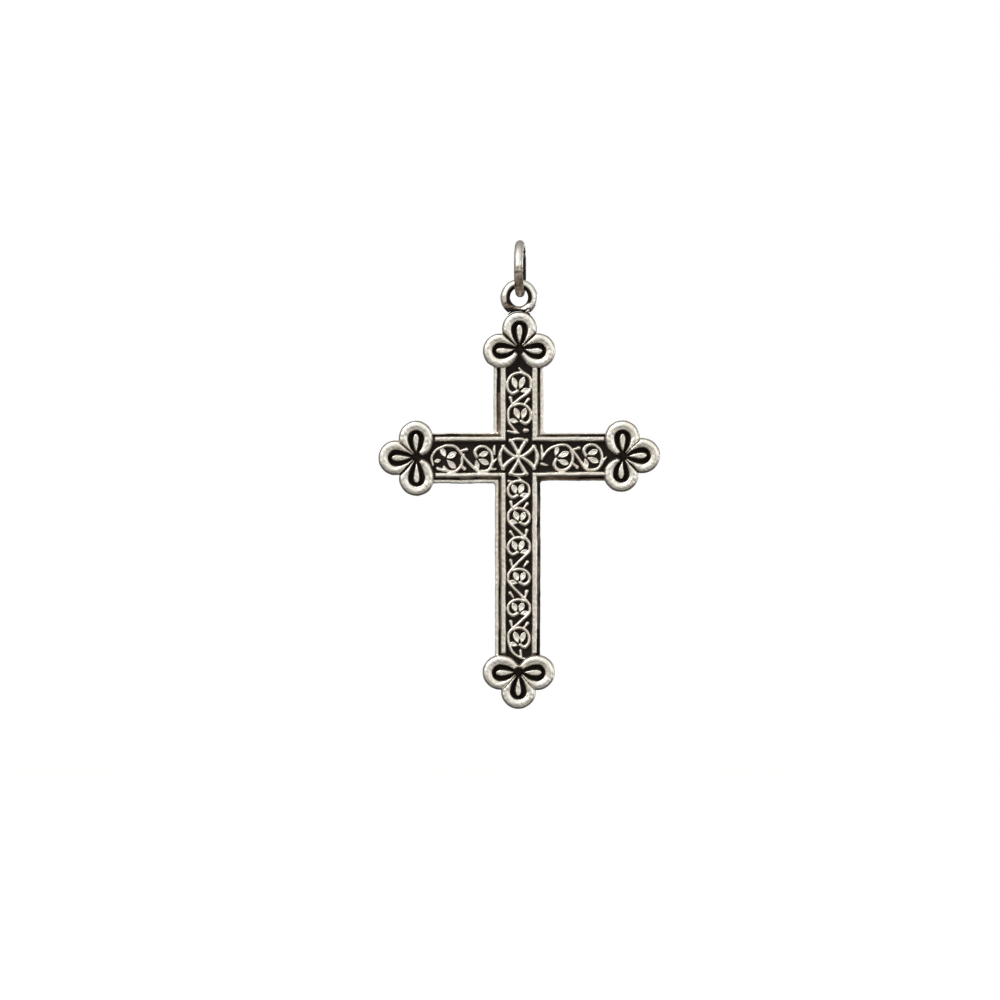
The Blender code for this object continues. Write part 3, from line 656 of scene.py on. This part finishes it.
def closed_casting(relief):
    """Vertices, faces, wear with painted shade, and texture places of the whole casting: front, walls and
    flat back.
    """
    place, normal, cells = relief_surface(relief)
    loop = np.array(boundary_loop(cells, len(place)))
    used = np.unique(cells)
    renumber = np.full(len(place), -1)
    renumber[used] = np.arange(len(used))
    cells = renumber[cells]
    rows = [np.column_stack((place[used], relief.height.ravel()[used]))]
    wear_and_shade = [relief.wear_and_shade.ravel()[used]]
    around, outward = place[loop], normal[loop]
    for _ in range(6):
        outward = (np.roll(outward, 1, 0) + 2 * outward + np.roll(outward, -1, 0)) / 4
    outward /= np.hypot(*outward.T)[:, None]
    ring = renumber[loop]
    for values in (rows[0][:, 2], wear_and_shade[0]):
        along = values[ring]
        along = np.minimum(along, np.minimum(np.roll(along, 1), np.roll(along, -1)))
        for _ in range(8):
            along = (np.roll(along, 1) + 2 * along + np.roll(along, -1)) / 4
        values[ring] = along
    square = cells[:, 2] != cells[:, 3]
    faces = cells[square].tolist() + cells[~square][:, :3].tolist()
    size = len(loop)
    count = len(used)
    walls = []
    for row, wear_and_shade_level in wall_rows(around, outward, rows[0][ring, 2]):
        below = count + np.arange(size)
        walls.append(np.column_stack((ring, below, np.roll(below, -1), np.roll(ring, -1))))
        rows.append(row)
        wear_and_shade.append(np.full(size, wear_and_shade_level))
        ring, count = below, count + size
    added, back = flat_back(rows[-1][:, :2], relief)
    back = [[corner + count - size for corner in face] for face in back]
    rows.append(np.column_stack((added, np.zeros(len(added)))))
    wear_and_shade.append(np.full(len(added), 0.8))
    local = np.vstack(rows)
    world = np.column_stack((local[:, 0], BACK_Y - local[:, 2], CROSSING_Z + local[:, 1])) * MM
    unwrapped = [unwrap(local, faces, relief, *FRONT_UNWRAP), wall_strip(around, walls),
                 unwrap(local, back, relief, *BACK_UNWRAP)]
    faces += [face for wall in walls for face in wall.tolist()] + back
    return world, faces, np.concatenate(wear_and_shade), np.vstack(unwrapped)


def unwrap(local, faces, relief, left, scale):
    """Texture places of faces seen square on, at a scale per mm, from the left place on."""
    corners = np.array([corner for face in faces for corner in face])
    return (local[corners, :2] - (relief.x[0], relief.y[0])) * scale + (left, 0.005)


def wall_strip(around, walls):
    """Texture places of the wall: one strip along the top of the texture."""
    steps = np.hypot(*(np.roll(around, -1, 0) - around).T)
    start = np.concatenate(((0,), np.cumsum(steps)[:-1])) / steps.sum()
    end = start + steps / steps.sum()
    made = []
    for number in range(len(walls)):
        high = 0.995 - WALL_ROW * number
        low = high - WALL_ROW
        made.append(np.stack((np.column_stack((start, np.full(len(start), high))),
                              np.column_stack((start, np.full(len(start), low))),
                              np.column_stack((end, np.full(len(start), low))),
                              np.column_stack((end, np.full(len(start), high)))), 1).reshape(-1, 2))
    return np.vstack(made)


def new_mesh(name, vertices, faces, wear_and_shade, material, unwrapped=None):
    """A smooth-shaded piece that carries its wear, with any painted shade in it, and its texture places where
    they are given.
    """
    mesh = bpy.data.meshes.new(name)
    mesh.from_pydata(vertices.tolist(), [], faces)
    if unwrapped is not None:
        layer = mesh.uv_layers.new(name="OFBake")
        layer.uv.foreach_set("vector", unwrapped.astype(np.float32).ravel())
    mesh.validate()
    mesh.shade_smooth()
    layer = mesh.attributes.new("wear_and_shade", "FLOAT", "POINT")
    layer.data.foreach_set("value", np.asarray(wear_and_shade, np.float32))
    mesh.materials.append(material)
    made = bpy.data.objects.new(name, mesh)
    bpy.context.scene.collection.objects.link(made)
    return made


# ---------------------------------------------------------------- materials


def set_stops(color_ramp, stops):
    """Gives a colour ramp its stops, each a place and a colour."""
    elements = color_ramp.elements
    while len(elements) < len(stops):
        elements.new(0.5)
    for element, (place, colour) in zip(elements, stops):
        element.position = place
        element.color = (*colour, 1.0)


class Nodes:
    """A short way to build a material's nodes."""

    def __init__(self, name):
        self.material = bpy.data.materials.new(name)
        self.material.use_nodes = True
        self.tree = self.material.node_tree
        self.shader = self.tree.nodes["Principled BSDF"]
        place = self.tree.nodes.new("ShaderNodeTexCoord")
        scaled = self.tree.nodes.new("ShaderNodeMapping")
        scaled.inputs["Scale"].default_value = (1 / MM,) * 3
        self.link(place.outputs["Object"], scaled.inputs["Vector"])
        self.mm = scaled.outputs["Vector"]

    def link(self, out, into):
        self.tree.links.new(out, into)

    def set(self, socket, value):
        if isinstance(value, bpy.types.NodeSocket):
            self.link(value, socket)
        else:
            socket.default_value = value

    def noise(self, scale, detail=3.0, roughness=0.55, stretch=None):
        """Noise on millimetres. A stretch is a rotation and a scale of the place."""
        node = self.tree.nodes.new("ShaderNodeTexNoise")
        vector = self.mm
        if stretch:
            shaped = self.tree.nodes.new("ShaderNodeMapping")
            shaped.inputs["Rotation"].default_value = stretch[0]
            shaped.inputs["Scale"].default_value = stretch[1]
            self.link(vector, shaped.inputs["Vector"])
            vector = shaped.outputs["Vector"]
        self.link(vector, node.inputs["Vector"])
        node.inputs["Scale"].default_value = scale
        node.inputs["Detail"].default_value = detail
        node.inputs["Roughness"].default_value = roughness
        return node.outputs["Fac"]

    def math(self, kind, a, b=0.0, clamp=False):
        node = self.tree.nodes.new("ShaderNodeMath")
        node.operation = kind
        node.use_clamp = clamp
        for socket, value in zip(node.inputs, (a, b)):
            self.set(socket, value)
        return node.outputs[0]

    def spread(self, value, low, high, to_low, to_high):
        node = self.tree.nodes.new("ShaderNodeMapRange")
        self.set(node.inputs["Value"], value)
        for name, number in zip(("From Min", "From Max", "To Min", "To Max"), (low, high, to_low, to_high)):
            self.set(node.inputs[name], number)
        return node.outputs[0]

    def ramp(self, value, stops):
        node = self.tree.nodes.new("ShaderNodeValToRGB")
        self.set(node.inputs["Fac"], value)
        set_stops(node.color_ramp, stops)
        return node.outputs["Color"]

    def mix(self, share, a, b):
        node = self.tree.nodes.new("ShaderNodeMix")
        node.data_type = "RGBA"
        self.set(node.inputs[0], share)
        for socket, value in ((node.inputs[6], a), (node.inputs[7], b)):
            self.set(socket, value if isinstance(value, bpy.types.NodeSocket) else (*value, 1.0))
        return node.outputs[2]

    def attribute(self, name):
        node = self.tree.nodes.new("ShaderNodeAttribute")
        node.attribute_name = name
        return node.outputs["Fac"]

    def bump(self, height, distance, strength=1.0, normal=None):
        node = self.tree.nodes.new("ShaderNodeBump")
        node.inputs["Strength"].default_value = strength
        node.inputs["Distance"].default_value = distance
        self.link(height, node.inputs["Height"])
        if normal is not None:
            self.link(normal, node.inputs["Normal"])
        return node.outputs["Normal"]


# Patina and bare silver colours. Where the wear value is lowered for painted shade, they paint that shade
# too.
BLACK = (0.009, 0.006, 0.0045)
SOOT = (0.018, 0.012, 0.009)
BARE = (0.84, 0.81, 0.745)
TARNISH = (0.37, 0.27, 0.18)


def antiqued_silver(name, bare=BARE, tarnish=TARNISH, gloss=0.38, depth=1.0):
    """Silver worn bare on its high parts, with blackened silver in the hollows. The value that carries the
    wear also carries painted shade, which darkens the colour the same way. Gloss is the bare metal's
    roughness, and depth scales the dents."""
    n = Nodes(name)
    fine = n.noise(7.0, 4.0, 0.6)
    middle = n.noise(1.5, 4.0, 0.55)
    broad = n.noise(0.28, 2.0, 0.5)
    hatch = n.noise(2.2, 2.0, 0.5, ((0, 0.5, 0), (6.0, 6.0, 0.35)))
    cross_hatch = n.noise(2.0, 2.0, 0.5, ((0, -0.9, 0), (0.4, 6.0, 6.0)))
    scratch = n.math("MAXIMUM", n.spread(hatch, 0.66, 0.74, 0, 1), n.spread(cross_hatch, 0.67, 0.75, 0, 1))
    wear_and_shade = n.attribute("wear_and_shade")
    wear_and_shade = n.math("ADD", wear_and_shade, n.math("MULTIPLY", n.math("SUBTRACT", middle, 0.5), 0.42))
    wear_and_shade = n.math("ADD", wear_and_shade, n.math("MULTIPLY", n.math("SUBTRACT", fine, 0.5), 0.38))
    wear_and_shade_level = n.math("MAXIMUM", n.math("MINIMUM", wear_and_shade, 1.0), 0.0)
    dull = tuple(c * s for c, s in zip(bare, (0.93, 0.91, 0.86)))
    bright = n.mix(n.spread(broad, 0.35, 0.65, 0, 1), bare, dull)
    brown = tuple(c * 0.42 for c in tarnish)
    half_bare = tuple(0.5 * (a + b) for a, b in zip(tarnish, bare))
    colour = n.ramp(wear_and_shade_level, ((0.0, BLACK), (0.22, SOOT), (0.46, brown), (0.7, half_bare), (0.86, bare)))
    colour = n.mix(n.spread(wear_and_shade_level, 0.7, 0.95, 0, 1), colour, bright)
    freckle = n.math("MULTIPLY", n.spread(fine, 0.52, 0.75, 0, 0.3), n.spread(wear_and_shade_level, 0.5, 1, 0, 1))
    colour = n.mix(freckle, colour, tarnish)
    n.link(colour, n.shader.inputs["Base Color"])
    n.link(n.spread(wear_and_shade_level, 0.25, 0.7, 0.0, 1.0), n.shader.inputs["Metallic"])
    n.link(n.spread(wear_and_shade_level, 0.2, 0.6, 0.12, 0.5), n.shader.inputs["Specular IOR Level"])
    rough = n.spread(wear_and_shade_level, 0.2, 0.9, 0.66, gloss)
    rough = n.math("ADD", rough, n.math("MULTIPLY", n.math("SUBTRACT", fine, 0.5), 0.22))
    rough = n.math("ADD", rough, n.math("MULTIPLY", scratch, 0.08), clamp=True)
    n.link(rough, n.shader.inputs["Roughness"])
    dents = n.bump(middle, 0.06 * MM * depth, 0.7)
    grain = n.bump(fine, 0.022 * MM * depth, 0.9, dents)
    n.link(n.bump(n.math("SUBTRACT", 1.0, scratch), 0.006 * MM, 0.6, grain), n.shader.inputs["Normal"])
    return n.material


# ---------------------------------------------------------------- the pieces


def add_cross():
    """The casting, from its relief."""
    relief = make_relief()
    vertices, faces, wear_and_shade, unwrapped = closed_casting(relief)
    # The casting's colour holds painted shade on the lower-right ledges and the lobes' outer slopes, besides
    # its patina.
    material = antiqued_silver("antiqued_silver_worn_painted_shade")
    cross = new_mesh("cast_cross", vertices, faces, wear_and_shade, material, unwrapped)
    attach(cross, "cross")
    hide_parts("cross_body")


def solid(low, high, step, field):
    """A smooth closed surface where the field, a signed distance in mm, is zero."""
    low, high = np.asarray(low, float), np.asarray(high, float)
    counts = np.ceil((high - low) / step).astype(int) + 1
    x, y, z = (low[k] + step * np.arange(counts[k]) for k in range(3))
    values = field(*np.meshgrid(x, y, z, indexing="ij"))
    grid = openvdb.FloatGrid(4 * step)
    grid.copyFromArray(np.clip(values, -3.9 * step, 3.9 * step).astype(np.float32))
    points, triangles, quads = grid.convertToPolygons(isovalue=0.0, adaptivity=0.0)
    points = np.asarray(points, float) * step + low
    faces = [face[::-1] for some in (triangles, quads) for face in np.asarray(some).tolist()]
    return points, faces


def ripple_along(x, y, z, length, seed):
    """Ripple over a solid: two slices of it added."""
    return 0.6 * ripple(x + 0.4 * y, z, length, seed) + 0.6 * ripple(y, z - 0.5 * x, length, seed + 50)


def blend(a, b, width):
    """The smaller of two distances, with a fillet of about this width."""
    h = np.clip(0.5 + 0.5 * (b - a) / width, 0, 1)
    return b + (a - b) * h - width * h * (1 - h)


def spot(x, y, z, middle, radii):
    """1 in the middle of an oval patch, falling to 0 at its edge."""
    gone = sum(((p - m) / r) ** 2 for p, m, r in zip((x, y, z), middle, radii))
    return 1 - smooth(0.0, 1.0, gone)


def add_ring():
    """The jump ring: dented round wire with a butt joint on its back. x runs back, y across and z up."""

    def field(x, y, z):
        distance = np.hypot(np.hypot(x, z) - RING_CENTRE_RADIUS, y) - RING_WIRE / 2
        dents = 0.01 + 0.009 * ripple_along(x, y, z, 1.1, 31) + 0.007 * ripple_along(x, y, z, 0.45, 33)
        turn = np.arctan2(z, x) - RING_JOINT
        gap = 0.5 * RING_JOINT_WIDTH - RING_CENTRE_RADIUS * np.abs(np.arctan2(np.sin(turn), np.cos(turn)))
        pit = 0.1 * spot(x, y, z, (2.3, -0.45, 1.95), (0.35, 0.3, 0.3))
        return np.maximum(distance + np.maximum(dents, 0) + pit, gap)

    reach = RING_CENTRE_RADIUS + RING_WIRE / 2 + VOXEL_MARGIN
    points, faces = solid((-reach, -0.8, -reach), (reach, 0.8, reach), RING_VOXEL, field)
    x, y, z = points.T
    outer = np.hypot(x, z) - RING_CENTRE_RADIUS
    wear_and_shade = 0.9 + 0.1 * ripple_along(x, y, z, 1.6, 35)
    # Painted shade: the ring is drawn darker and browner towards the bottom, and darker on the inside of its
    # wire.
    darkened = z + 0.7 * ripple_along(x, y, z, 1.4, 36) + 0.5 * np.abs(y)
    wear_and_shade -= (0.42 + 0.24 * ripple_along(x, y, z, 0.5, 37)) * smooth(2.2, -1.4, darkened)
    wear_and_shade -= 0.3 * smooth(-0.1, -0.45, outer)
    wear_and_shade += 0.2 * smooth(-2.5, -3.1, z) - 0.2 * spot(x, y, z, (-2.4, -0.3, -1.6), (0.8, 0.8, 0.5))
    wear_and_shade -= 0.7 * spot(x, y, z, (2.35, -0.45, 1.95), (0.5, 0.4, 0.32))
    patches = 0.3 + 0.6 * smooth(-0.1, 0.35, ripple_along(x, y, z, 0.9, 38))
    wear_and_shade -= smooth(0.4, 1.2, x) * smooth(0.2, -0.05, outer) * patches
    wear_and_shade -= 0.6 * (np.abs(np.arctan2(z, x) - RING_JOINT) < 0.035)
    sine, cosine = math.sin(RING_YAW), math.cos(RING_YAW)
    turned = np.column_stack((RING_ASIDE - x * sine - y * cosine, x * cosine - y * sine,
                              z + RING_CENTRE_Z)) * MM
    material = antiqued_silver("ring_silver_worn_painted_shade", (0.82, 0.8, 0.755), (0.34, 0.235, 0.15), 0.36)
    ring = new_mesh("jump_ring_worn_painted_shade", turned, faces, np.clip(wear_and_shade, 0, 1), material)
    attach(ring, "ring")
    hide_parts("jump_ring")


def loop_distance(x, y, z):
    """How far outside the loop's wire a point is. The wire is worn thinner at the top, under the ring."""
    return np.hypot(np.hypot(x, z) - LOOP_CENTRE_RADIUS, y) - LOOP_WIRE / 2 - 0.06 * smooth(1.3, 0.2, z)


def bud_distance(x, z):
    """How far outside the top bud's round a point is, from the loop's middle."""
    return np.hypot(x, z - (TOP_BUD_Z - LOBE_RADIUS - LOOP_CENTRE_Z)) - LOBE_RADIUS


def loop_place(x, y, z):
    """Millimetres from the loop's middle, as metres in the frame."""
    return np.column_stack((x + LOOP_ASIDE, y, z + LOOP_CENTRE_Z)) * MM


def add_loop():
    """The suspension loop: round wire, filed hollow over the bud, with painted shade inside its upper part,
    and patchy at its foot.
    """

    def field(x, y, z):
        dents = 0.006 + 0.009 * ripple_along(x, y, z, 0.9, 41) + 0.006 * ripple_along(x, y, z, 0.4, 43)
        return np.maximum(loop_distance(x, y, z) + np.maximum(dents, -0.02), LOOP_SEAT - bud_distance(x, z))

    reach = LOOP_CENTRE_RADIUS + LOOP_WIRE / 2 + VOXEL_MARGIN
    points, faces = solid((-reach, -0.75, -reach), (reach, 0.75, reach), LOOP_VOXEL, field)
    x, y, z = points.T
    outer = np.hypot(x, z) - LOOP_CENTRE_RADIUS
    wear_and_shade = 0.96 + 0.08 * ripple_along(x, y, z, 1.0, 45)
    # Painted shade: the inside of the wire is drawn near black in the loop's upper part.
    wear_and_shade -= 0.95 * smooth(0.02, -0.26, outer) * smooth(-1.1, -0.4, z)
    patch = 0.55 * spot(x, y, z, (-1.15, -0.3, -1.1), (1.3, 0.9, 1.1))
    wear_and_shade -= patch * (1 + 0.4 * ripple_along(x, y, z, 0.5, 46))
    wear_and_shade -= 0.5 * spot(x, y, z, (-1.0, -0.3, -1.6), (1.0, 0.8, 0.6))
    wear_and_shade -= 0.8 * spot(x, y, z, (1.12, -0.4, -1.62), (0.62, 0.8, 0.5))
    wear_and_shade -= 0.6 * (1 - smooth(LOOP_SEAT + 0.02, LOOP_SEAT + 0.14, bud_distance(x, z)))
    material = antiqued_silver("loop_silver_worn_painted_shade", (0.88, 0.86, 0.8), (0.33, 0.24, 0.16), 0.32)
    loop = new_mesh("suspension_loop_worn_painted_shade", loop_place(x, y, z), faces, np.clip(wear_and_shade, 0, 1), material)
    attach(loop, "cross")
    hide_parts("suspension_loop")


def nugget_distance(x, y, z):
    """About how far outside the tilted oval nugget a point is."""
    aside, ahead, above = x - NUGGET[0], y - NUGGET[1], z - NUGGET[2]
    cosine, sine = NUGGET_TILT
    long, wide, high = NUGGET_RADII
    u = aside * cosine + above * sine
    w = above * cosine - aside * sine
    return (np.sqrt((u / long) ** 2 + (ahead / wide) ** 2 + (w / high) ** 2) - 1) * high


def add_solder():
    """The solder seam: a dark film under the loop, uneven fillets in the notches, and a bright nugget."""

    def field(x, y, z):
        lumps = 0.02 * ripple_along(x, y, z, 0.5, 51) + 0.012 * ripple_along(x, y, z, 0.22, 53)
        loop = np.maximum(loop_distance(x, y, z), LOOP_SEAT - bud_distance(x, z))
        seat = TOP_BUD_Z - LOOP_CENTRE_Z - 0.02 - 0.22 * x * x
        blob = (np.sqrt((x / 1.3) ** 2 + (y / 0.52) ** 2 + ((z - seat) / 0.4) ** 2) - 1) * 0.4 + lumps
        made = np.maximum(np.maximum(blob, 0.02 - bud_distance(x, z)), -loop)
        return blend(made, nugget_distance(x, y, z), 0.06)

    points, faces = solid((-1.8, -0.75, -2.9), (1.8, 0.75, -1.0), SOLDER_VOXEL, field)
    x, y, z = points.T
    wear_and_shade = 0.06 + 0.1 * ripple_along(x, y, z, 0.4, 55)
    wear_and_shade += 0.95 * (1 - smooth(0.0, 0.05, nugget_distance(x, y, z)))
    material = antiqued_silver("solder_tarnished", bare=(0.95, 0.94, 0.92), gloss=0.2, depth=1.6)
    solder = new_mesh("loop_solder_tarnished", loop_place(x, y, z), faces, np.clip(wear_and_shade, 0, 1), material)
    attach(solder, "cross")
    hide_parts("loop_solder")


# ---------------------------------------------------------------- room, lights, floor and camera

# The room's brightness from straight down (0) to straight up (1).
ROOM_LEVELS = ((0.0, 0.12), (0.28, 0.24), (0.44, 0.55), (0.54, 0.74), (0.75, 0.95), (1.0, 1.05))
LIGHTS = (
    # name, place in m, width in m, power in W
    ("key", (-0.35, -0.5, 0.45), 0.4, 4.0),
    ("fill", (0.5, -0.6, 0.1), 0.5, 0.9),
    ("rear", (0.6, 0.6, -0.05), 0.5, 1.6),
)
# In m: how far the floor lies below the pendant, half its width, the width that the camera sees at the cross,
# the camera's distance, and its place beside and below the crossing.
FLOOR_DROP = 0.06
FLOOR_HALF = 1.5
SEEN_WIDTH = 0.12
CAMERA_AWAY = 0.9
CAMERA_ASIDE = -0.00216
CAMERA_BELOW = 0.00508


def add_studio():
    """A room that is white to the camera. To all other rays it is dim below and behind, and bright above."""
    scene = bpy.context.scene
    scene.view_settings.view_transform = "Standard"
    scene.world = bpy.data.worlds.new("studio")
    scene.world.use_nodes = True
    tree = scene.world.node_tree
    tree.nodes.clear()
    out, mix, seen, room, rays, coordinate, split, ramp, upward, front, shade = (
        tree.nodes.new("ShaderNode" + kind)
        for kind in ("OutputWorld", "MixShader", "Background", "Background", "LightPath", "TexCoord",
                     "SeparateXYZ", "ValToRGB", "MapRange", "MapRange", "Mix")
    )
    seen.inputs["Color"].default_value = (1.0, 1.0, 1.0, 1.0)
    upward.inputs["From Min"].default_value = -1.0
    set_stops(ramp.color_ramp, [(place, (level, level * 0.99, level * 0.97)) for place, level in ROOM_LEVELS])
    for name, number in zip(("From Min", "From Max", "To Min", "To Max"), (0.6, -0.75, 0.3, 1.0)):
        front.inputs[name].default_value = number
    shade.data_type = "RGBA"
    shade.blend_type = "MULTIPLY"
    shade.inputs[0].default_value = 1.0
    for start, end in (
        (coordinate.outputs["Generated"], split.inputs["Vector"]),
        (split.outputs["Z"], upward.inputs["Value"]),
        (upward.outputs[0], ramp.inputs["Fac"]),
        (split.outputs["Y"], front.inputs["Value"]),
        (ramp.outputs["Color"], shade.inputs[6]),
        (front.outputs[0], shade.inputs[7]),
        (shade.outputs[2], room.inputs["Color"]),
        (rays.outputs["Is Camera Ray"], mix.inputs[0]),
        (room.outputs[0], mix.inputs[1]),
        (seen.outputs[0], mix.inputs[2]),
        (mix.outputs[0], out.inputs["Surface"]),
    ):
        tree.links.new(start, end)


def add_light(name, place, size, power):
    """A round soft light that faces the crossing."""
    light = bpy.data.lights.new(name, "AREA")
    light.shape = "DISK"
    light.size = size
    light.energy = power
    lamp = bpy.data.objects.new(name, light)
    lamp.location = place
    target = Vector((0, 0, CROSSING_Z * MM))
    lamp.rotation_euler = (target - Vector(place)).to_track_quat("-Z", "Y").to_euler()
    bpy.context.scene.collection.objects.link(lamp)


def add_floor():
    """A pale floor. It glows faintly, so that it fades into the white behind it."""
    low = cad_low.z - FLOOR_DROP
    mesh = bpy.data.meshes.new("floor")
    corners = [(x * FLOOR_HALF, y * FLOOR_HALF, low) for x, y in ((-1, -1), (1, -1), (1, 1), (-1, 1))]
    mesh.from_pydata(corners, [], [(0, 1, 2, 3)])
    n = Nodes("pale_floor")
    n.shader.inputs["Roughness"].default_value = 0.9
    n.shader.inputs["Emission Strength"].default_value = 0.45
    n.shader.inputs["Emission Color"].default_value = (1.0, 1.0, 1.0, 1.0)
    n.link(n.mix(n.noise(0.02, 2.0), (0.92, 0.92, 0.91), (0.95, 0.95, 0.94)), n.shader.inputs["Base Color"])
    mesh.materials.append(n.material)
    floor = bpy.data.objects.new("floor", mesh)
    bpy.context.scene.collection.objects.link(floor)
    floor.visible_glossy = False


def add_camera():
    """Level and square to the front, with a long lens, and the pendant a little right of the middle."""
    camera = bpy.data.cameras.new("camera")
    camera.sensor_width = 36
    camera.lens = camera.sensor_width * CAMERA_AWAY / SEEN_WIDTH
    camera.clip_start = 0.01
    holder = bpy.data.objects.new("camera", camera)
    holder.location = (CAMERA_ASIDE, cross_low.y * MM - CAMERA_AWAY, CROSSING_Z * MM - CAMERA_BELOW)
    holder.rotation_euler = (math.pi / 2, 0, 0)
    bpy.context.scene.collection.objects.link(holder)
    bpy.context.scene.camera = holder


add_cross()
add_ring()
add_loop()
add_solder()
add_studio()
for light in LIGHTS:
    add_light(*light)
add_floor()
add_camera()
